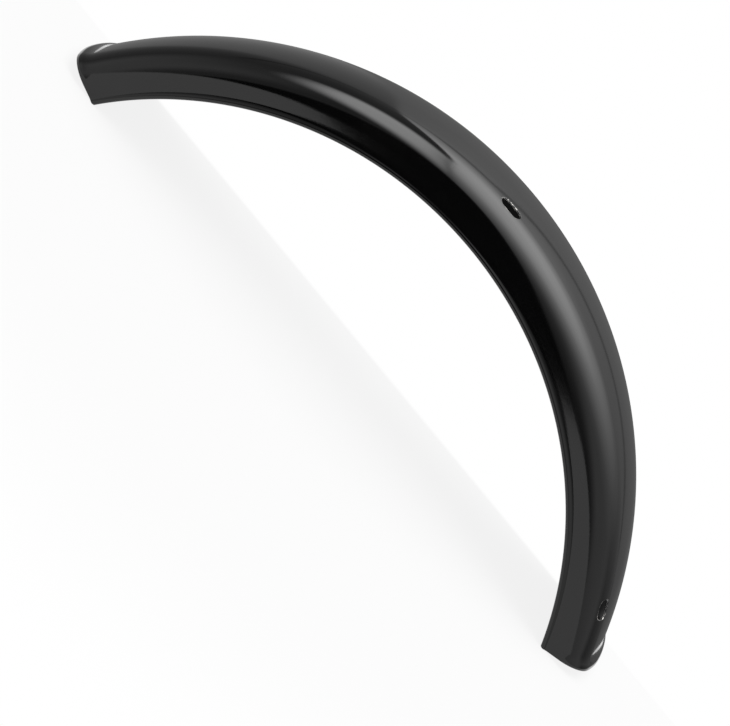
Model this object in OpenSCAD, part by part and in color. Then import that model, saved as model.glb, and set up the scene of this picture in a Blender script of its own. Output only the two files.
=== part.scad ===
// Front fender of a small scooter: one blade of pressed sheet steel, painted black.
// A channel section is bent round the wheel. Both long edges are rolled into a hem, and both
// ends are flared out and rolled over into a stiffening lip that dies away down the side walls.
// The blade stands on its four hem corners: Z points up at the middle of the arch, X runs along
// the wheel's travel and Y along the axle. The end with the second slot is at +X.

/* [Arch] */
// Radius of the arch, from the axle to the outside of the crown
crown_r = 250; // [200:1:320]
// Angle that the arch covers, from one end of the hems to the other
arc_deg = 121.4; // [80:0.2:150]
// Thickness of the sheet
sheet_t = 1.0; // [0.7:0.1:1.4]

/* [Section] */
// Width over the outsides of the side walls, at the foot of the walls
blade_w = 94; // [80:1:120]
// Depth from the top of the crown to the foot of the side walls
wall_d = 26.5; // [25:0.5:36]
// Radius of the shallow curve across the crown
crown_curve_r = 180; // [140:5:260]
// Outside radius of the shoulders between crown and walls
shoulder_r = 17.5; // [12:0.5:20]
// Angle at which each side wall leans outwards
wall_lean = 2.5; // [0:0.5:6]

/* [Rolled hem] */
// Outside radius of the hollow that flares the sheet out just above the hem
flare_r = 5.5; // [4:0.5:9]
// Angle of that flare
flare_deg = 24; // [10:1:35]
// Outside radius of the rolled edge
hem_r = 1.6; // [1.5:0.1:2.5]
// Angle that the edge is rolled through, towards the inside
hem_turn = 205; // [150:5:230]

/* [End lips] */
// Outside radius of the groove at the root of the lip
groove_r = 6; // [4:0.5:10]
// Angle at which the groove lifts the sheet off the arch
groove_deg = 58; // [35:1:70]
// Outside radius of the bulge that follows the groove
bulge_r = 3.2; // [2.4:0.1:5]
// Angle that the bulge is rolled over, past the arch's own direction
bulge_over = 70; // [30:5:80]
// Length of arch between the root of the lip and the end of the hem
lip_root = 8; // [6:0.5:14]
// Depth below the crown at which the lip starts to die away
lip_full_d = 8; // [4:0.5:14]

/* [Slots] */
// Width of both slots
slot_w = 8; // [5:0.5:9]
// Length of the slot at the middle of the arch
mid_slot_l = 14.5; // [10:0.5:24]
// Distance of the middle slot's centre in from the outside of the side wall
mid_slot_in = 14.5; // [11:0.5:24]
// Angle of the middle slot from the top of the arch
mid_slot_deg = -0.7; // [-15:0.1:15]
// Length of the slot near the end
end_slot_l = 12.5; // [10:0.5:24]
// Distance of the end slot's centre in from the outside of the side wall
end_slot_in = 11; // [11:0.5:24]
// Angle between the end slot and the end of the hems
end_slot_deg = 6.9; // [6:0.1:20]

/* [Hidden] */

// Steps along each stretch of the section and of the lip
crown_steps = 6;
shoulder_steps = 9;
wall_steps = 3;
flare_steps = 3;
hem_steps = 8;
groove_steps = 6;
bulge_steps = 10;
// Facets of a full turn of the arch, and of a slot's round ends
arch_facets = 480;
slot_facets = 64;

paint = [0.06, 0.06, 0.065];

// Half angle of the crown curve, at which the shoulders stand the walls at blade_w
section_gap = crown_curve_r - shoulder_r;
half_w_left = blade_w / 2 - shoulder_r * cos(wall_lean)
    - tan(wall_lean) * (wall_d - crown_curve_r + shoulder_r * sin(wall_lean));
crown_half = asin(half_w_left * cos(wall_lean) / section_gap) - wall_lean;
crown_edge_y = crown_curve_r * sin(crown_half);
crown_drop = crown_curve_r * (1 - cos(crown_half));
shoulder_drop = shoulder_r * (cos(crown_half) - sin(wall_lean));
wall_l = (wall_d - crown_drop - shoulder_drop) / cos(wall_lean);

// A point of the section is [y, height over the crown, heading of the sheet below level].
function last(list) = list[len(list) - 1];

function bend(p, r, turn, steps) = [
    for (k = [1:steps])
        let (h = p[2] + turn * k / steps)
        [p[0] + r * (sin(h) - sin(p[2])), p[1] - r * (cos(p[2]) - cos(h)), h]
];

function straight(p, length, steps) = [
    for (k = [1:steps])
        [p[0] + cos(p[2]) * length * k / steps, p[1] - sin(p[2]) * length * k / steps, p[2]]
];

crown_top = [0, 0, 0];
crown_pts = bend(crown_top, crown_curve_r, crown_half, crown_steps);
shoulder_pts = bend(last(crown_pts), shoulder_r, 90 - wall_lean - crown_half, shoulder_steps);
wall_pts = straight(last(shoulder_pts), wall_l, wall_steps);
flare_pts = bend(last(wall_pts), -flare_r, -flare_deg, flare_steps);
hem_pts = bend(last(flare_pts), hem_r, hem_turn, hem_steps);
side_pts = concat(crown_pts, shoulder_pts, wall_pts, flare_pts, hem_pts);

// The whole outside of the section, from one rolled edge over the crown to the other
skin = concat(
    [for (i = [len(side_pts) - 1:-1:0]) [-side_pts[i][0], side_pts[i][1], -side_pts[i][2]]],
    [crown_top],
    side_pts
);

// The lip's sheet runs into the end of the arch's, this far, and is this much thinner on each face.
lap_l = 0.5;
lap_t = 0.03;
tip = straight(last(side_pts), -lap_t, 1)[0];
count = len(skin);
lip_skin = [
    for (i = [0:count - 1])
        i == 0 ? [-tip[0], tip[1], -tip[2]] : i == count - 1 ? tip : skin[i]
];

// A point at a height over the outside of the sheet, square to it, as [y, radius from the axle]
function over_skin(p, height) = [
    p[0] + sin(p[2]) * height,
    crown_r + p[1] + cos(p[2]) * height
];

// The lip, walked from its root to its edge on the outside of the sheet. Each point is
// [length walked, distance along the arch, height, angle of the sheet].
groove_pts = [
    for (k = [0:groove_steps])
        let (a = groove_deg * k / groove_steps)
        [groove_r * a * PI / 180, groove_r * sin(a), groove_r * (1 - cos(a)), a]
];
bulge_pts = [
    for (k = [1:bulge_steps])
        let (g = last(groove_pts))
        let (turned = (groove_deg + bulge_over) * k / bulge_steps)
        let (a = groove_deg - turned)
        [
            g[0] + bulge_r * turned * PI / 180,
            g[1] + bulge_r * (sin(groove_deg) - sin(a)),
            g[2] + bulge_r * (cos(a) - cos(groove_deg)),
            a
        ]
];
lip_pts = concat([groove_pts[0]], groove_pts, bulge_pts);
lip_len = last(lip_pts)[0];
stations = len(lip_pts);

// Share of the lip's full form at a depth: all of it at the shoulders, none at the foot of the wall
function lip_share(height) =
    let (x = min(1, max(0, (height + wall_d) / (wall_d - lip_full_d))))
    x * x * (3 - 2 * x);

// The lip at a share of its form, as [distance along the arch, height, unit normal's two parts]
function lip_at(station, share) =
    let (q = lip_pts[station])
    let (run = (1 - share) * lip_root / lip_len + share * cos(q[3]))
    let (rise = share * sin(q[3]))
    let (size = norm([run, rise]))
    [
        station == 0 ? -lap_l : (1 - share) * lip_root * q[0] / lip_len + share * q[1],
        share * q[2],
        -rise / size,
        run / size
    ];

// Angle of the arch's own revolved stretch on each side of its top
root_deg = arc_deg / 2 - lip_root / crown_r * 180 / PI;

// A point of the lip's sheet, on its outside where depth is 0
function lip_point(i, station, depth) =
    let (q = lip_at(station, lip_share(lip_skin[i][1])))
    let (p = over_skin(lip_skin[i], q[1] - depth * q[3]))
    let (a = root_deg + (q[0] - depth * q[2]) / crown_r * 180 / PI)
    [p[1] * sin(a), p[0], p[1] * cos(a)];

// Height of the axle below the plane that the hem corners stand on
skin_low = min([for (p = skin) p[1]]);
axle_drop = (crown_r + skin_low) * cos(arc_deg / 2);

// Sweep of the section round the axle, up to the roots of the lips
module arch_sheet() {
    rotate([90, 0, 0])
    rotate_extrude(angle = 2 * root_deg, start = 90 - root_deg, $fn = arch_facets)
    polygon(concat(
        [for (p = skin) let (q = over_skin(p, 0)) [q[1], -q[0]]],
        [
            for (i = [len(skin) - 1:-1:0])
                let (q = over_skin(skin[i], -sheet_t))
                [q[1], -q[0]]
        ]
    ));
}

// The flared and rolled end at +X, from the root of the lip to its edge
module end_lip() {
    under = sheet_t - lap_t;
    outside = [for (j = [0:stations - 1]) for (i = [0:count - 1]) lip_point(i, j, lap_t)];
    inside = [for (j = [0:stations - 1]) for (i = [0:count - 1]) lip_point(i, j, under)];
    n = stations * count;
    top = (stations - 1) * count;
    edge = count - 1;
    polyhedron(
        points = concat(outside, inside),
        faces = concat(
            [
                for (j = [0:stations - 2])
                    for (i = [0:count - 2])
                        let (a = j * count + i)
                        each [[a, a + 1, a + count + 1], [a, a + count + 1, a + count]]
            ],
            [
                for (j = [0:stations - 2])
                    for (i = [0:count - 2])
                        let (a = n + j * count + i)
                        each [[a, a + count + 1, a + 1], [a, a + count, a + count + 1]]
            ],
            [for (i = [0:count - 2]) each [[i, n + i + 1, i + 1], [i, n + i, n + i + 1]]],
            [
                for (i = [0:count - 2])
                    let (a = top + i)
                    each [[a, a + 1, n + a + 1], [a, n + a + 1, n + a]]
            ],
            [
                for (j = [0:stations - 2])
                    let (a = j * count)
                    each [[a, n + a + count, n + a], [a, a + count, n + a + count]]
            ],
            [
                for (j = [0:stations - 2])
                    let (a = j * count + edge)
                    each [[a, n + a + count, a + count], [a, n + a, n + a + count]]
            ]
        )
    );
}

// Distance of each slot from the centre line, and how far its cutter reaches each way
mid_slot_y = blade_w / 2 - mid_slot_in;
end_slot_y = blade_w / 2 - end_slot_in;
cut_reach = 6 * sheet_t;

// Lean and height of the outside of the sheet at a distance from the centre line
function lean_at(y) = y <= crown_edge_y
    ? asin(y / crown_curve_r)
    : asin(sin(crown_half) + (y - crown_edge_y) / shoulder_r);
function height_at(y) = y <= crown_edge_y
    ? -crown_curve_r * (1 - cos(lean_at(y)))
    : -crown_drop - shoulder_r * (cos(crown_half) - cos(lean_at(y)));

// Cutter for a slot along the arch, square to the sheet on the shoulder at -Y
module slot_cut(at_deg, y, length) {
    rotate([0, at_deg, 0])
    translate([0, -y, crown_r + height_at(y)])
    rotate([lean_at(y), 0, 0]) {
        cube([length - slot_w, slot_w, 2 * cut_reach], center = true);
        for (x = [-1, 1])
            translate([x * (length - slot_w) / 2, 0, 0])
            cylinder(d = slot_w, h = 2 * cut_reach, center = true, $fn = slot_facets);
    }
}

module fender() {
    color(paint)
    translate([0, 0, -axle_drop]) {
        difference() {
            arch_sheet();
            slot_cut(mid_slot_deg, mid_slot_y, mid_slot_l);
            slot_cut(arc_deg / 2 - end_slot_deg, end_slot_y, end_slot_l);
        }
        end_lip();
        mirror([1, 0, 0])
        end_lip();
    }
}

fender();
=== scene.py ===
import math

import bmesh
import bpy
import numpy as np
from mathutils import Matrix, Vector


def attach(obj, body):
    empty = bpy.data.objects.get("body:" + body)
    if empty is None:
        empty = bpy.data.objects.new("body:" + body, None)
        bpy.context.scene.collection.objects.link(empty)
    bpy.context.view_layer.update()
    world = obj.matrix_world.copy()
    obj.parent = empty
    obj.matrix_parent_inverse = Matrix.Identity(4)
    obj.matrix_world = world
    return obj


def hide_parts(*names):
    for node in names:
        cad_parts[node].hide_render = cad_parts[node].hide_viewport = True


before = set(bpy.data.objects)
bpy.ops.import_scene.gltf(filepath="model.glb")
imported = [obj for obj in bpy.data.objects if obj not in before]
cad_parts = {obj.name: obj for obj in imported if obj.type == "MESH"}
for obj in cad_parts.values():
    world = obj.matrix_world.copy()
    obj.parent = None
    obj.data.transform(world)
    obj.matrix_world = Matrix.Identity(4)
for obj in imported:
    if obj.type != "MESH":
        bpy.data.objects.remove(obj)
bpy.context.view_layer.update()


# Camera: the fender stands on its hem corners and the picture is turned by roll
cameraSetup = {
    "eye": (0.00113, -1.12801, 0.39030),
    "target": (0.01146, 0.0, 0.01004),
    "roll": 50.61,                      # degrees, clockwise in the picture
    "lens": 103.67,                     # mm on a 36 mm wide film
}


def makeCamera(setup):
    data = bpy.data.cameras.new("camera")
    data.sensor_width = 36.0
    data.lens = setup["lens"]
    data.clip_start = 0.01
    data.clip_end = 50.0
    camera = bpy.data.objects.new("camera", data)
    bpy.context.scene.collection.objects.link(camera)
    eye = Vector(setup["eye"])
    back = (eye - Vector(setup["target"])).normalized()
    level = Vector((0, 0, 1)).cross(back).normalized()
    upright = back.cross(level)
    turn = math.radians(setup["roll"])
    right = level * math.cos(turn) + upright * math.sin(turn)
    up = upright * math.cos(turn) - level * math.sin(turn)
    turned = Matrix((right, up, back)).transposed().to_4x4()
    camera.matrix_world = Matrix.Translation(eye) @ turned
    bpy.context.scene.camera = camera
    return camera


makeCamera(cameraSetup)
bpy.context.scene.view_settings.view_transform = "Standard"
print("camera set")


# Blade, in mm. Section, arch and slots follow the solid. The lips are longer and rounder than its own
blade = {
    "crownR": 250.0,
    "arcDeg": 121.4,
    "sheet": 1.0,
    "width": 94.0,                      # over the walls, at their foot
    "wallDepth": 26.5,
    "crownCurveR": 180.0,
    "shoulderR": 17.5,
    "wallLean": 2.5,
    "flareR": 5.5,
    "flareDeg": 27.0,
    "hemR": 1.6,
    "hemTurn": 205.0,
    "tongue": 4.0,                      # run of the crown's middle before the lip lifts
    "tonguePower": 1.8,                 # how square the tongue is from above
    "tongueEdge": 70.3,                 # sheet from the centre line to where its reach is nil
    "grooveR": 15.0,
    "grooveDeg": 26.0,
    "bulgeR": 6.2,
    "bulgeOver": 25.0,
    "lipRoot": 4.0,
    "liftFrom": 14.0,                   # sheet from the centre line, where the lift fades out
    "liftTo": 61.1,
    "endRise": 0.94,                    # the walls get this much shallower towards the ends
    "riseFrom": 30.0,
    "edgeRound": 0.7,                   # how far the sheet's cut edges are rounded over
}
meshSteps = {
    "across": [3.0, 1.4, 1.6, 0.45, 0.42],              # mm: crown, shoulder, wall, flare, hem
    "along": [0.3, 0.45, 1.2, 2.9, 1.2, 0.45, 0.3],     # mm: bulge, groove, tongue, arch and back
    "slotRows": 15,                     # lines through each slot's patch
    "gapAcross": 0.5,                   # a plain line this near a slot's line is left out
    "gapAlong": 1.2,
    "edgeTurns": 4,                     # steps round a cut edge
    "rings": (0.72, 0.5, 0.34, 0.22, 0.12, 0.05),       # from the patch's border in to the slot
    "chipReach": 2.6,                   # mm from a slot's edge that chips can reach
    "slotEdge": [(0.30, 0.0), (0.09, 0.09), (0.0, 0.3), (0.0, 0.7), (0.09, 0.91), (0.30, 1.0)],
}
slots = [
    {"deg": -0.7, "y": 32.5, "length": 14.5, "width": 8.0, "reach": (9.0, 13.0)},
    {"deg": 60.7 - 6.9, "y": 37.0, "length": 12.5, "width": 8.0, "reach": (9.0, 12.0)},
]


def sine(a):
    return np.sin(np.radians(a))


def cosine(a):
    return np.cos(np.radians(a))


def sectionLegs(b):
    # each leg is [start y, start height, start heading, radius or 0, length]
    rc, rs, lean = b["crownCurveR"], b["shoulderR"], b["wallLean"]
    left = b["width"] / 2 - rs * cosine(lean)
    left -= math.tan(math.radians(lean)) * (b["wallDepth"] - rc + rs * sine(lean))
    half = math.degrees(math.asin(left * cosine(lean) / (rc - rs))) - lean
    drop = rc * (1 - cosine(half)) + rs * (cosine(half) - sine(lean))
    wall = (b["wallDepth"] - drop) / cosine(lean)
    turns = [
        (rc, half),
        (rs, 90 - lean - half),
        (0, wall),
        (-b["flareR"], -b["flareDeg"]),
        (b["hemR"], b["hemTurn"]),
    ]
    legs = []
    y, u, h = 0.0, 0.0, 0.0
    for radius, turn in turns:
        length = turn if radius == 0 else radius * math.radians(turn)
        legs.append((y, u, h, radius, length))
        if radius == 0:
            y, u = y + cosine(h) * length, u - sine(h) * length
        else:
            y += radius * (sine(h + turn) - sine(h))
            u -= radius * (cosine(h) - cosine(h + turn))
            h += turn
    return legs


legs = sectionLegs(blade)
legEnds = np.cumsum([leg[4] for leg in legs])
tipT = float(legEnds[-1])


def sectionAt(t):
    # the outside of the section at an arc length from the centre line: y, height, heading
    t = np.asarray(t, float)
    side = np.where(t < 0, -1.0, 1.0)
    walked = np.abs(t)
    y, u, h = np.zeros_like(t), np.zeros_like(t), np.zeros_like(t)
    start = 0.0
    for (y0, u0, h0, radius, length), end in zip(legs, legEnds):
        here = (walked >= start - 1e-9) & (walked <= end + 1e-6)
        on = walked[here] - start
        if radius == 0:
            y[here] = y0 + cosine(h0) * on
            u[here] = u0 - sine(h0) * on
            h[here] = h0
        else:
            turned = h0 + np.degrees(on / radius)
            y[here] = y0 + radius * (sine(turned) - sine(h0))
            u[here] = u0 - radius * (cosine(h0) - cosine(turned))
            h[here] = turned
        start = end
    return side * y, u, side * h


rootDeg = blade["arcDeg"] / 2 - math.degrees(blade["lipRoot"] / blade["crownR"])
rootV = math.radians(rootDeg) * blade["crownR"]
grooveLen = blade["grooveR"] * math.radians(blade["grooveDeg"])
bulgeLen = blade["bulgeR"] * math.radians(blade["grooveDeg"] + blade["bulgeOver"])
lipLen = blade["tongue"] + grooveLen + bulgeLen
endV = rootV + lipLen
sectionDepth = -float(sectionAt(np.linspace(0, tipT, 4000))[1].min())
axleDrop = 107.161                      # height of the floor over the axle, as the solid has it


def lipAt(walked):
    # the lip at the crown's middle: distance along the arch, height, angle of the sheet
    g, b, flat = blade["grooveR"], blade["bulgeR"], blade["tongue"]
    up = np.degrees(np.clip(walked - flat, 0, grooveLen) / g)
    down = np.degrees(np.maximum(walked - flat - grooveLen, 0) / b)
    angle = up - down
    top = blade["grooveDeg"]
    along = np.minimum(walked, flat) + g * sine(up) + b * (sine(top) - sine(top - down))
    height = g * (1 - cosine(up)) + b * (cosine(top - down) - cosine(top))
    return along, height, angle


def sheetPoint(t, v, depth, stretch=0.0):
    # a point of the sheet in metres: t across, v along the arch, depth below its outside
    t, v, depth = np.broadcast_arrays(*[np.asarray(x, float) for x in (t, v, depth)])
    y, u, h = sectionAt(t)
    reach = 1 - np.clip(np.abs(t) / blade["tongueEdge"], 0, 1) ** blade["tonguePower"]
    lift = np.clip((blade["liftTo"] - np.abs(t)) / (blade["liftTo"] - blade["liftFrom"]), 0, 1)
    lift = lift * lift * (3 - 2 * lift)
    walked = np.clip(np.abs(v) - rootV, 0, None)
    along, height, angle = lipAt(walked)
    run = (1 - reach) * blade["lipRoot"] / lipLen + reach * cosine(angle)
    rise = lift * sine(angle)
    size = np.hypot(run, rise)
    onLip = walked > 0
    run, rise = np.where(onLip, run / size, 1.0), np.where(onLip, rise / size, 0.0)
    over = lift * height - depth * run + stretch * rise
    onArc = rootV + (1 - reach) * blade["lipRoot"] * walked / lipLen + reach * along
    arc = np.where(onLip, onArc, np.abs(v))
    arc = arc + depth * rise + stretch * run
    turn = np.degrees(arc / blade["crownR"]) * np.sign(v)
    risen = blade["arcDeg"] / 2 - blade["riseFrom"]
    low = np.clip((np.abs(turn) - blade["riseFrom"]) / risen, 0, 1.2) ** 2
    radius = blade["crownR"] + u + cosine(h) * over - u * low * blade["endRise"] / sectionDepth
    across = y + sine(h) * over
    return np.stack([radius * sine(turn), across, radius * cosine(turn) - axleDrop], -1) / 1000


def spacedLines(stops, steps, extra, gap):
    # evenly spaced lines between the stops, with the extra lines taking the place of near ones
    lines = []
    for lo, hi, step in zip(stops[:-1], stops[1:], steps):
        count = max(1, int(math.ceil((hi - lo) / step)))
        lines += list(np.linspace(lo, hi, count + 1)[:-1])
    lines.append(stops[-1])
    kept = [x for x in lines if all(abs(x - e) > gap for e in extra)]
    return np.array(sorted(kept + list(extra)))


def slotPlace(slot):
    # arc length across and along of the slot's centre
    legEdge = legs[1]
    y = slot["y"]
    if y <= legEdge[0]:
        t = blade["crownCurveR"] * math.asin(y / blade["crownCurveR"])
    else:
        lean = math.asin(sine(legEdge[2]) + (y - legEdge[0]) / blade["shoulderR"])
        t = legEnds[0] + blade["shoulderR"] * (lean - math.radians(legEdge[2]))
    return -t, math.radians(slot["deg"]) * blade["crownR"]


def meshLines():
    slotT, slotV = [], []
    for slot in slots:
        t, v = slotPlace(slot)
        reachT, reachV = slot["reach"]
        slotT += [t - reachT, t + reachT]
        slotV += list(np.linspace(v - reachV, v + reachV, meshSteps["slotRows"]))
    half = [0.0] + [float(x) for x in legEnds]
    steps = meshSteps["across"]
    tStops = [-x for x in reversed(half)] + half[1:]
    tLines = spacedLines(tStops, list(reversed(steps)) + steps, slotT, meshSteps["gapAcross"])
    lifted = rootV + blade["tongue"]
    ahead = [rootV, lifted, lifted + grooveLen, endV]
    vStops = [-x for x in reversed(ahead)] + ahead
    vLines = spacedLines(vStops, meshSteps["along"], slotV, meshSteps["gapAlong"])
    return tLines, vLines


def slotRing(slot, aim, grow):
    # for each aimed point (t, v), the point on the slot's outline grown by some mm
    t0, v0 = slotPlace(slot)
    straight = (slot["length"] - slot["width"]) / 2
    spine = np.stack([np.full(len(aim), t0), v0 + np.clip(aim[:, 1] - v0, -straight, straight)], 1)
    way = aim - spine
    way /= np.linalg.norm(way, axis=1)[:, None]
    return spine + way * (slot["width"] / 2 + grow)


def makeBlade(name):
    tLines, vLines = meshLines()
    rows, cols = len(vLines), len(tLines)
    sheet = blade["sheet"]
    turns = meshSteps["edgeTurns"]
    grid = np.meshgrid(tLines, vLines)
    points, edgeShare, faces, inner = [], [], [], []

    def addPoints(p, share):
        first = sum(len(x) for x in points)
        p = np.asarray(p).reshape(-1, 3)
        points.append(p)
        edgeShare.append(np.broadcast_to(np.asarray(share, float).reshape(-1), (len(p),)))
        return np.arange(first, first + len(p))

    def addFaces(quads, isInner=False):
        faces.extend(quads)
        inner.extend([isInner] * len(quads))

    outside = addPoints(sheetPoint(grid[0], grid[1], 0.0), 0.0).reshape(rows, cols)
    inside = addPoints(sheetPoint(grid[0], grid[1], sheet), 0.0).reshape(rows, cols)

    # rounded cut edges along the two hems
    rims = {}
    for side, column in ((-1, 0), (1, cols - 1)):
        t = tLines[column]
        here = sheetPoint(np.full(rows, t), vLines, 0.0)
        under = sheetPoint(np.full(rows, t), vLines, sheet)
        before = sheetPoint(np.full(rows, t - side * 0.05), vLines, sheet / 2)
        at = sheetPoint(np.full(rows, t), vLines, sheet / 2)
        out = (at - before) / np.linalg.norm(at - before, axis=1)[:, None]
        strips = [outside[:, column]]
        for k in range(1, turns):
            a = math.pi * k / turns
            mixed = here + (under - here) * (1 - math.cos(a)) / 2
            bulge = out * math.sin(a) * sheet / 2000 * blade["edgeRound"]
            strips.append(addPoints(mixed + bulge, 0.0))
        strips.append(inside[:, column])
        rims[column] = strips

    # rounded cut edges of the two lips
    caps = {}
    for side, row in ((-1, 0), (1, rows - 1)):
        v = vLines[row]
        strips = [outside[row]]
        for k in range(1, turns):
            a = math.pi * k / turns
            stretch = math.sin(a) * sheet / 2 * blade["edgeRound"]
            depth = (1 - math.cos(a)) / 2 * sheet
            middle = addPoints(sheetPoint(tLines[1:-1], v, depth, stretch), 0.0)
            strips.append(np.concatenate([[rims[0][k][row]], middle, [rims[cols - 1][k][row]]]))
        strips.append(inside[row])
        caps[row] = strips

    holes = []
    for slot in slots:
        t0, v0 = slotPlace(slot)
        reachT, reachV = slot["reach"]
        c0 = int(np.argmin(np.abs(tLines - (t0 - reachT))))
        c1 = int(np.argmin(np.abs(tLines - (t0 + reachT))))
        r0 = int(np.argmin(np.abs(vLines - (v0 - reachV))))
        r1 = int(np.argmin(np.abs(vLines - (v0 + reachV))))
        holes.append((slot, r0, r1, c0, c1))

    def isCut(r, c):
        return any(r0 <= r < r1 and c0 <= c < c1 for _, r0, r1, c0, c1 in holes)

    for r in range(rows - 1):
        for c in range(cols - 1):
            if isCut(r, c):
                continue
            addFaces([(outside[r, c], outside[r + 1, c], outside[r + 1, c + 1], outside[r, c + 1])])
            addFaces([(inside[r, c], inside[r, c + 1], inside[r + 1, c + 1], inside[r + 1, c])], True)
    for strips in rims.values():
        for a, b in zip(strips[:-1], strips[1:]):
            addFaces([(a[r], b[r], b[r + 1], a[r + 1]) for r in range(rows - 1)])
    for strips in caps.values():
        for a, b in zip(strips[:-1], strips[1:]):
            addFaces([(a[c], b[c], b[c + 1], a[c + 1]) for c in range(cols - 1)])

    # slots: rings from the grid's opening to the cut edge, through the sheet and back
    cutProfile = meshSteps["slotEdge"]
    for slot, r0, r1, c0, c1 in holes:
        loop = [(r0, c) for c in range(c0, c1)] + [(r, c1) for r in range(r0, r1)]
        loop += [(r1, c) for c in range(c1, c0, -1)] + [(r, c0) for r in range(r1, r0, -1)]
        aim = np.array([(tLines[c], vLines[r]) for r, c in loop])
        ringsOut = [np.array([outside[r, c] for r, c in loop])]
        ringsIn = [np.array([inside[r, c] for r, c in loop])]
        lip = slotRing(slot, aim, cutProfile[0][0])
        for f in meshSteps["rings"]:
            at = lip + (aim - lip) * f
            far = np.linalg.norm(at - lip, axis=1)
            share = np.clip(1 - far / meshSteps["chipReach"], 0, 1)
            ringsOut.append(addPoints(sheetPoint(at[:, 0], at[:, 1], 0.0), share))
            ringsIn.append(addPoints(sheetPoint(at[:, 0], at[:, 1], sheet), share))
        wall = []
        for grow, deep in cutProfile:
            at = slotRing(slot, aim, grow)
            wall.append(addPoints(sheetPoint(at[:, 0], at[:, 1], deep * sheet), 1.0))
        chain = ringsOut + wall + ringsIn[::-1]
        size = len(loop)
        for k, (a, b) in enumerate(zip(chain[:-1], chain[1:])):
            isInner = k >= len(ringsOut) + len(wall) - 1
            addFaces([(a[i], b[i], b[(i + 1) % size], a[(i + 1) % size]) for i in range(size)], isInner)

    mesh = bpy.data.meshes.new(name)
    mesh.from_pydata(np.concatenate(points).tolist(), [], [tuple(int(i) for i in f) for f in faces])
    share = mesh.attributes.new("slotEdge", "FLOAT", "POINT")
    share.data.foreach_set("value", np.concatenate(edgeShare).astype(np.float32))
    mesh.polygons.foreach_set("material_index", [1 if x else 0 for x in inner])
    work = bmesh.new()
    work.from_mesh(mesh)
    bmesh.ops.recalc_face_normals(work, faces=work.faces)
    work.to_mesh(mesh)
    work.free()
    mesh.polygons.foreach_set("use_smooth", [True] * len(mesh.polygons))
    mesh.update()
    piece = bpy.data.objects.new(name, mesh)
    bpy.context.scene.collection.objects.link(piece)
    print("blade made:", len(mesh.polygons), "faces")
    return piece


# Node helpers
def newGroup(name, inputs, outputs):
    tree = bpy.data.node_groups.new(name, "ShaderNodeTree")
    for label, kind, value in inputs:
        socket = tree.interface.new_socket(label, in_out="INPUT", socket_type=kind)
        if value is not None:
            socket.default_value = value
    for label, kind in outputs:
        tree.interface.new_socket(label, in_out="OUTPUT", socket_type=kind)
    return tree, tree.nodes.new("NodeGroupInput"), tree.nodes.new("NodeGroupOutput")


def connect(tree, value, socket):
    if isinstance(value, (int, float)):
        socket.default_value = value
    elif isinstance(value, (tuple, list)):
        socket.default_value = value
    else:
        tree.links.new(value, socket)


def maths(tree, operation, a, b=None, c=None, clamp=False):
    node = tree.nodes.new("ShaderNodeMath")
    node.operation = operation
    node.use_clamp = clamp
    for socket, value in zip(node.inputs, (a, b, c)):
        if value is not None:
            connect(tree, value, socket)
    return node.outputs[0]


def ramped(tree, value, low, high, outLow=0.0, outHigh=1.0, smooth=True):
    node = tree.nodes.new("ShaderNodeMapRange")
    node.interpolation_type = "SMOOTHSTEP" if smooth else "LINEAR"
    connect(tree, value, node.inputs["Value"])
    connect(tree, low, node.inputs["From Min"])
    connect(tree, high, node.inputs["From Max"])
    node.inputs["To Min"].default_value = outLow
    node.inputs["To Max"].default_value = outHigh
    return node.outputs["Result"]


def noise(tree, where, scale, detail=2.0, rough=0.5):
    node = tree.nodes.new("ShaderNodeTexNoise")
    tree.links.new(where, node.inputs["Vector"])
    node.inputs["Scale"].default_value = scale
    node.inputs["Detail"].default_value = detail
    node.inputs["Roughness"].default_value = rough
    return node.outputs["Fac"]


def mixedColor(tree, factor, first, second):
    node = tree.nodes.new("ShaderNodeMix")
    node.data_type = "RGBA"
    connect(tree, factor, node.inputs[0])
    for socket, value in ((node.inputs[6], first), (node.inputs[7], second)):
        if isinstance(value, (tuple, list)):
            socket.default_value = (*value, 1.0)
        else:
            tree.links.new(value, socket)
    return node.outputs[2]


# Effects that both finishes use
effects = {
    "rippleScale": 520.0,
    "rippleHeight": 0.000004,           # metres
    "waveScale": 14.0,
    "waveHeight": 0.00012,
    "cloudScale": 22.0,
    "cloudFrom": (0.48, 0.75),
    "cloudShare": 0.6,
    "speckScale": 900.0,
    "speckFrom": (0.66, 0.74),
    "speckShare": 0.4,
    "chipScale": 260.0,
    "chipShare": 0.75,
    "flakeScale": 1400.0,
    "flakeShare": 0.35,
    "bareFrom": (1.57, 1.62),           # nearness plus noise at which steel shows
    "rimFrom": (1.49, 1.57),
    "chipDepth": 0.00008,
    "chipRough": 0.22,                  # added to the roughness where the steel is bare
}


def makeOrangePeel(e):
    # the fine ripple of sprayed enamel and the slow waves that pressing leaves in the sheet
    tree, come, go = newGroup(
        "orangePeel",
        [("Ripple", "NodeSocketFloat", 1.0), ("Waves", "NodeSocketFloat", 1.0)],
        [("Height", "NodeSocketFloat")],
    )
    where = tree.nodes.new("ShaderNodeTexCoord").outputs["Object"]
    fine = maths(tree, "MULTIPLY", noise(tree, where, e["rippleScale"], 1.0), come.outputs["Ripple"])
    slow = maths(tree, "MULTIPLY", noise(tree, where, e["waveScale"], 1.0), come.outputs["Waves"])
    fine = maths(tree, "MULTIPLY", fine, e["rippleHeight"])
    slow = maths(tree, "MULTIPLY", slow, e["waveHeight"])
    tree.links.new(maths(tree, "ADD", fine, slow), go.inputs["Height"])
    return tree


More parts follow.
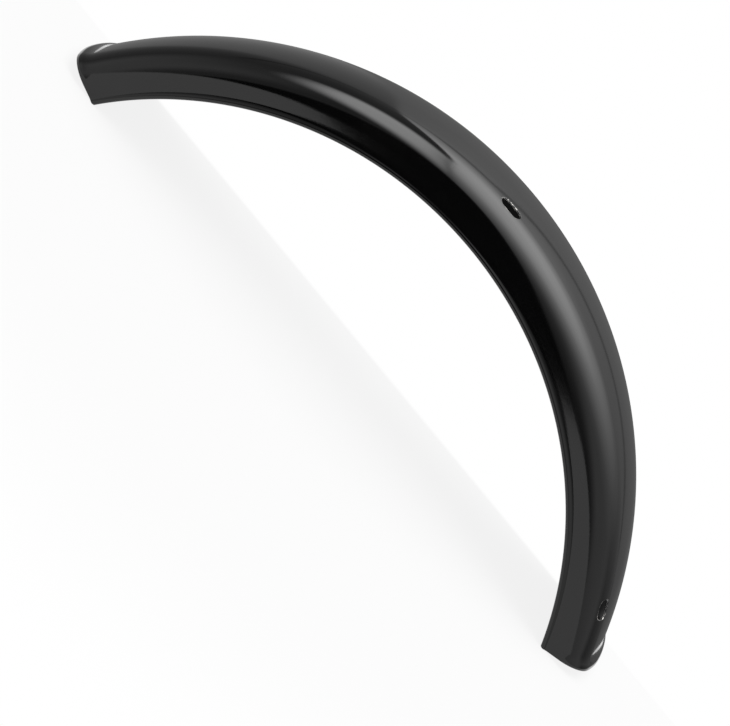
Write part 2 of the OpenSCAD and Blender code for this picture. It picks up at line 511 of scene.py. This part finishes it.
def makeHandlingMarks(e):
    # light dust and wipe marks, as a mask
    tree, come, go = newGroup(
        "handlingMarks",
        [("Amount", "NodeSocketFloat", 0.3)],
        [("Mask", "NodeSocketFloat")],
    )
    where = tree.nodes.new("ShaderNodeTexCoord").outputs["Object"]
    cloud = ramped(tree, noise(tree, where, e["cloudScale"], 4.0, 0.6), *e["cloudFrom"])
    speck = ramped(tree, noise(tree, where, e["speckScale"], 2.0, 0.6), *e["speckFrom"])
    cloud = maths(tree, "MULTIPLY", cloud, e["cloudShare"])
    speck = maths(tree, "MULTIPLY", speck, e["speckShare"])
    both = maths(tree, "ADD", cloud, speck)
    mask = maths(tree, "MULTIPLY", both, come.outputs["Amount"], clamp=True)
    tree.links.new(mask, go.inputs["Mask"])
    return tree


def makeEdgeChips(e):
    # where paint has broken off at a punched edge: bare metal, and the pale rim of the paint
    tree, come, go = newGroup(
        "edgeChips",
        [("Spread", "NodeSocketFloat", 1.0)],
        [("Bare", "NodeSocketFloat"), ("Rim", "NodeSocketFloat")],
    )
    near = tree.nodes.new("ShaderNodeAttribute")
    near.attribute_name = "slotEdge"
    where = tree.nodes.new("ShaderNodeTexCoord").outputs["Object"]
    broad = maths(tree, "MULTIPLY", noise(tree, where, e["chipScale"], 2.0, 0.6), e["chipShare"])
    fine = maths(tree, "MULTIPLY", noise(tree, where, e["flakeScale"], 3.0, 0.65), e["flakeShare"])
    rough = maths(tree, "ADD", broad, fine)
    pull = maths(tree, "MULTIPLY", near.outputs["Fac"], come.outputs["Spread"])
    level = maths(tree, "ADD", pull, rough)
    touched = maths(tree, "GREATER_THAN", near.outputs["Fac"], 0.02)
    bare = maths(tree, "MULTIPLY", ramped(tree, level, *e["bareFrom"]), touched)
    rim = maths(tree, "MULTIPLY", ramped(tree, level, *e["rimFrom"]), touched)
    tree.links.new(bare, go.inputs["Bare"])
    tree.links.new(maths(tree, "SUBTRACT", rim, bare, clamp=True), go.inputs["Rim"])
    return tree


def placeGroup(tree, group, values):
    node = tree.nodes.new("ShaderNodeGroup")
    node.node_tree = group
    for label, value in values.items():
        node.inputs[label].default_value = value
    return node


orangePeel = makeOrangePeel(effects)
handlingMarks = makeHandlingMarks(effects)
edgeChips = makeEdgeChips(effects)


# Finishes
enamelLook = {
    "name": "blackEnamel",
    "paint": (0.0010, 0.0010, 0.0011),
    "dusty": (0.014, 0.0135, 0.0125),
    "steel": (0.42, 0.41, 0.39),
    "rim": (0.10, 0.10, 0.10),
    "rough": (0.085, 0.16),             # clean and dusty
    "ripple": 1.0,
    "waves": 0.35,
    "dust": 0.22,
    "chips": 1.0,
    "shine": 0.5,                       # specular level
}
innerLook = {
    "name": "blackInside",
    "paint": (0.0015, 0.0015, 0.0016),
    "dusty": (0.010, 0.0095, 0.009),
    "steel": (0.55, 0.54, 0.51),
    "rim": (0.08, 0.08, 0.08),
    "rough": (0.24, 0.42),
    "ripple": 3.0,
    "waves": 0.35,
    "dust": 0.6,
    "chips": 0.92,
    "shine": 0.08,
}


def makePaint(look):
    material = bpy.data.materials.new(look["name"])
    material.use_nodes = True
    tree = material.node_tree
    shader = tree.nodes["Principled BSDF"]
    shader.inputs["IOR"].default_value = 1.5
    shader.inputs["Specular IOR Level"].default_value = look["shine"]
    peel = placeGroup(tree, orangePeel, {"Ripple": look["ripple"], "Waves": look["waves"]})
    marks = placeGroup(tree, handlingMarks, {"Amount": look["dust"]})
    chips = placeGroup(tree, edgeChips, {"Spread": look["chips"]})
    bare, rim = chips.outputs["Bare"], chips.outputs["Rim"]
    color = mixedColor(tree, marks.outputs["Mask"], look["paint"], look["dusty"])
    color = mixedColor(tree, rim, color, look["rim"])
    color = mixedColor(tree, bare, color, look["steel"])
    tree.links.new(color, shader.inputs["Base Color"])
    tree.links.new(bare, shader.inputs["Metallic"])
    clean, dusty = look["rough"]
    rough = ramped(tree, marks.outputs["Mask"], 0.0, 1.0, clean, dusty, smooth=False)
    rough = maths(tree, "ADD", rough, maths(tree, "MULTIPLY", bare, effects["chipRough"]))
    tree.links.new(rough, shader.inputs["Roughness"])
    bump = tree.nodes.new("ShaderNodeBump")
    bump.inputs["Strength"].default_value = 1.0
    bump.inputs["Distance"].default_value = 1.0
    flaked = maths(tree, "MULTIPLY", bare, -effects["chipDepth"])
    tree.links.new(maths(tree, "ADD", peel.outputs["Height"], flaked), bump.inputs["Height"])
    tree.links.new(bump.outputs["Normal"], shader.inputs["Normal"])
    return material


fender = makeBlade("fenderBlade")
fender.data.materials.append(makePaint(enamelLook))
fender.data.materials.append(makePaint(innerLook))
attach(fender, "root")
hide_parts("fender")
print("paint made")


# Studio: a pale sheet to stand on, one wide lamp overhead, and the room by direction
studio = {
    "floorFront": -0.56,                # the sheet's edge towards the camera
    "floorBack": 0.052,                 # short, so that its glare stays off the far crown
    "floorReach": 0.8,
    "floorColor": (0.86, 0.86, 0.86),
    "lift": 0.86,                       # share of plain white in the sheet as the eye sees it
    "fade": (0.26, 0.48),               # distance over which the sheet turns plain white
    "backFade": (0.02, 0.05),
    "overheadPower": 22.0,
    "overheadSize": 1.8,
    "overheadPlace": (0.1, 0.1, 1.7),
    "fill": 0.42,                       # level of the room on matt surfaces
}


def makeFloor(s):
    reach, front = s["floorReach"], s["floorFront"]
    mesh = bpy.data.meshes.new("floor")
    back = s["floorBack"]
    corners = [(-reach, front, 0), (reach, front, 0), (reach, back, 0), (-reach, back, 0)]
    mesh.from_pydata(corners, [], [(0, 1, 2, 3)])
    floor = bpy.data.objects.new("floor", mesh)
    bpy.context.scene.collection.objects.link(floor)
    material = bpy.data.materials.new("paleSheet")
    material.use_nodes = True
    tree = material.node_tree
    matt = tree.nodes["Principled BSDF"]
    matt.inputs["Base Color"].default_value = (*s["floorColor"], 1.0)
    matt.inputs["Roughness"].default_value = 0.9
    matt.inputs["Specular IOR Level"].default_value = 0.1
    white = tree.nodes.new("ShaderNodeEmission")
    white.inputs["Color"].default_value = (1, 1, 1, 1)
    path = tree.nodes.new("ShaderNodeLightPath")
    seen = maths(tree, "MAXIMUM", path.outputs["Is Camera Ray"], path.outputs["Is Glossy Ray"])
    seen = maths(tree, "MAXIMUM", seen, path.outputs["Is Transmission Ray"])
    place = tree.nodes.new("ShaderNodeNewGeometry").outputs["Position"]
    far = tree.nodes.new("ShaderNodeVectorMath")
    far.operation = "LENGTH"
    tree.links.new(place, far.inputs[0])
    fade = ramped(tree, far.outputs["Value"], *s["fade"], s["lift"], 1.0)
    parts = tree.nodes.new("ShaderNodeSeparateXYZ")
    tree.links.new(place, parts.inputs[0])
    fade = maths(tree, "MAXIMUM", fade, ramped(tree, parts.outputs[1], *s["backFade"]))
    mix = tree.nodes.new("ShaderNodeMixShader")
    tree.links.new(maths(tree, "MULTIPLY", fade, seen), mix.inputs[0])
    tree.links.new(matt.outputs[0], mix.inputs[1])
    tree.links.new(white.outputs[0], mix.inputs[2])
    tree.links.new(mix.outputs[0], tree.nodes["Material Output"].inputs["Surface"])
    mesh.materials.append(material)
    return floor


def makeOverhead(s):
    data = bpy.data.lights.new("overhead", "AREA")
    data.shape = "SQUARE"
    data.size = s["overheadSize"]
    data.energy = s["overheadPower"]
    lamp = bpy.data.objects.new("overhead", data)
    lamp.location = s["overheadPlace"]
    lamp.visible_camera = False
    lamp.visible_glossy = False
    bpy.context.scene.collection.objects.link(lamp)
    return lamp


# What glossy paint sees of the room, by direction. Angles are degrees: across is measured from
# -Y towards +X, and up from level. x, y and z are the parts of the direction.
room = {
    "rise": [
        (-4, 0.16), (8, 0.24), (18, 0.34), (26, 0.48), (35, 0.85),
        (45, 1.6), (55, 2.5), (65, 3.9), (78, 5.0),
    ],                                  # level by angle up
    "panelEdge": -0.25,                 # x over z at the overhead panel's left edge
    "panelSoft": (-0.02, 0.012),
    "panelBend": 0.2,                   # how far that edge turns away at the back
    "bendOver": (0.1, 0.7),             # y over which it does
    "leftLevel": 0.26,
    "seam": (0.028, 0.5),               # half width and depth of the dark seam at the back
    "seamSoft": (1.0, 0.25),            # share of the half width
    "seamRise": (0.47, -0.72, 0.53),    # its height over x, and the most it reaches
    "seamOver": (0.1, 0.4),
    "sideLevel": 0.42,                  # paler walls low down, far to both sides
    "sideUp": (46, 8),
    "sideAcross": (19, 40),
    "sideOver": (0.15, -0.25),
    "keyAcross": -55.0,
    "keyUp": 56.0,
    "keySize": (24.0, 14.0),
    "keyTilt": -38.0,
    "keySoft": (1.5, 0.5),
    "keyCut": (0.0, -0.03),             # the panel's edge cuts it off
    "keyLevel": 4.4,
    "darkAcross": -7.0,
    "darkUp": 12.0,
    "darkSize": (14.5, 23.5),
    "darkSoft": (1.08, 0.92),
    "darkLevel": 0.03,
}


def spreadOf(tree, a, b):
    squares = maths(tree, "ADD", maths(tree, "MULTIPLY", a, a), maths(tree, "MULTIPLY", b, b))
    return maths(tree, "SQRT", squares)


def makeRoom(r, s):
    world = bpy.data.worlds.new("room")
    bpy.context.scene.world = world
    world.use_nodes = True
    tree = world.node_tree
    background = tree.nodes["Background"]
    way = tree.nodes.new("ShaderNodeSeparateXYZ")
    tree.links.new(tree.nodes.new("ShaderNodeTexCoord").outputs["Generated"], way.inputs[0])
    x, y, z = way.outputs
    up = maths(tree, "MULTIPLY", maths(tree, "ARCSINE", z), 180 / math.pi)
    forward = maths(tree, "MULTIPLY", y, -1.0)
    across = maths(tree, "MULTIPLY", maths(tree, "ARCTAN2", x, forward), 180 / math.pi)

    # the panel overhead, and the plainer wall left of its edge
    level = r["rise"][0][1]
    for (low, before), (high, after) in zip(r["rise"][:-1], r["rise"][1:]):
        step = ramped(tree, up, low, high, 0.0, after - before, smooth=False)
        level = maths(tree, "ADD", step, level)
    edge = maths(tree, "SUBTRACT", x, maths(tree, "MULTIPLY", z, r["panelEdge"]))
    edge = maths(tree, "ADD", edge, ramped(tree, y, *r["bendOver"], 0.0, r["panelBend"]))
    onPanel = ramped(tree, edge, *r["panelSoft"])
    panel = maths(tree, "MULTIPLY", level, onPanel)
    leftWall = maths(tree, "MULTIPLY", maths(tree, "SUBTRACT", 1.0, onPanel), r["leftLevel"])
    level = maths(tree, "ADD", panel, leftWall)

    # dark seam at the back
    halfWidth, depth = r["seam"]
    start, slope, most = r["seamRise"]
    seamZ = maths(tree, "ADD", maths(tree, "MULTIPLY", x, slope), start)
    seamZ = maths(tree, "MINIMUM", seamZ, most)
    off = maths(tree, "ABSOLUTE", maths(tree, "SUBTRACT", z, seamZ))
    dip = ramped(tree, maths(tree, "DIVIDE", off, halfWidth), *r["seamSoft"], 0.0, depth)
    dip = maths(tree, "MULTIPLY", dip, ramped(tree, y, *r["seamOver"]))
    level = maths(tree, "MULTIPLY", level, maths(tree, "SUBTRACT", 1.0, dip))

    # paler walls to both sides
    aside = maths(tree, "ABSOLUTE", maths(tree, "SUBTRACT", across, r["darkAcross"]))
    pale = ramped(tree, up, *r["sideUp"], 0.0, r["sideLevel"])
    pale = maths(tree, "MULTIPLY", pale, ramped(tree, aside, *r["sideAcross"]))
    level = maths(tree, "ADD", level, maths(tree, "MULTIPLY", pale, ramped(tree, y, *r["sideOver"])))

    # soft box to the left
    tilt = math.radians(r["keyTilt"])
    dx = maths(tree, "SUBTRACT", across, r["keyAcross"])
    dy = maths(tree, "SUBTRACT", up, r["keyUp"])
    dx = maths(tree, "MULTIPLY", dx, math.cos(math.radians(r["keyUp"])))
    long = maths(tree, "MULTIPLY", dx, math.cos(tilt))
    long = maths(tree, "ADD", long, maths(tree, "MULTIPLY", dy, math.sin(tilt)))
    wide = maths(tree, "MULTIPLY", dy, math.cos(tilt))
    wide = maths(tree, "SUBTRACT", wide, maths(tree, "MULTIPLY", dx, math.sin(tilt)))
    long = maths(tree, "DIVIDE", long, r["keySize"][0])
    wide = maths(tree, "DIVIDE", wide, r["keySize"][1])
    key = ramped(tree, spreadOf(tree, long, wide), *r["keySoft"], 0.0, r["keyLevel"])
    key = maths(tree, "MULTIPLY", key, ramped(tree, edge, *r["keyCut"]))
    level = maths(tree, "ADD", level, key)

    # the dark side of the room, towards -Y
    dx = maths(tree, "SUBTRACT", across, r["darkAcross"])
    dx = maths(tree, "DIVIDE", dx, r["darkSize"][0])
    dy = maths(tree, "DIVIDE", maths(tree, "SUBTRACT", up, r["darkUp"]), r["darkSize"][1])
    dy = maths(tree, "MAXIMUM", dy, 0.0)
    dark = ramped(tree, spreadOf(tree, dx, dy), *r["darkSoft"])
    lit = maths(tree, "MULTIPLY", level, maths(tree, "SUBTRACT", 1.0, dark))
    level = maths(tree, "ADD", lit, maths(tree, "MULTIPLY", dark, r["darkLevel"]))

    # the camera sees plain white, and matt surfaces an even fill
    path = tree.nodes.new("ShaderNodeLightPath").outputs
    mirrored = maths(tree, "MAXIMUM", path["Is Glossy Ray"], path["Is Transmission Ray"])
    seen = maths(tree, "MULTIPLY", level, mirrored)
    white = path["Is Camera Ray"]
    other = maths(tree, "SUBTRACT", 1.0, maths(tree, "ADD", mirrored, white), clamp=True)
    total = maths(tree, "ADD", seen, white)
    total = maths(tree, "ADD", total, maths(tree, "MULTIPLY", other, s["fill"]))
    tree.links.new(total, background.inputs["Strength"])
    background.inputs["Color"].default_value = (1, 1, 1, 1)
    return world


makeFloor(studio)
makeOverhead(studio)
makeRoom(room, studio)
print("studio made")
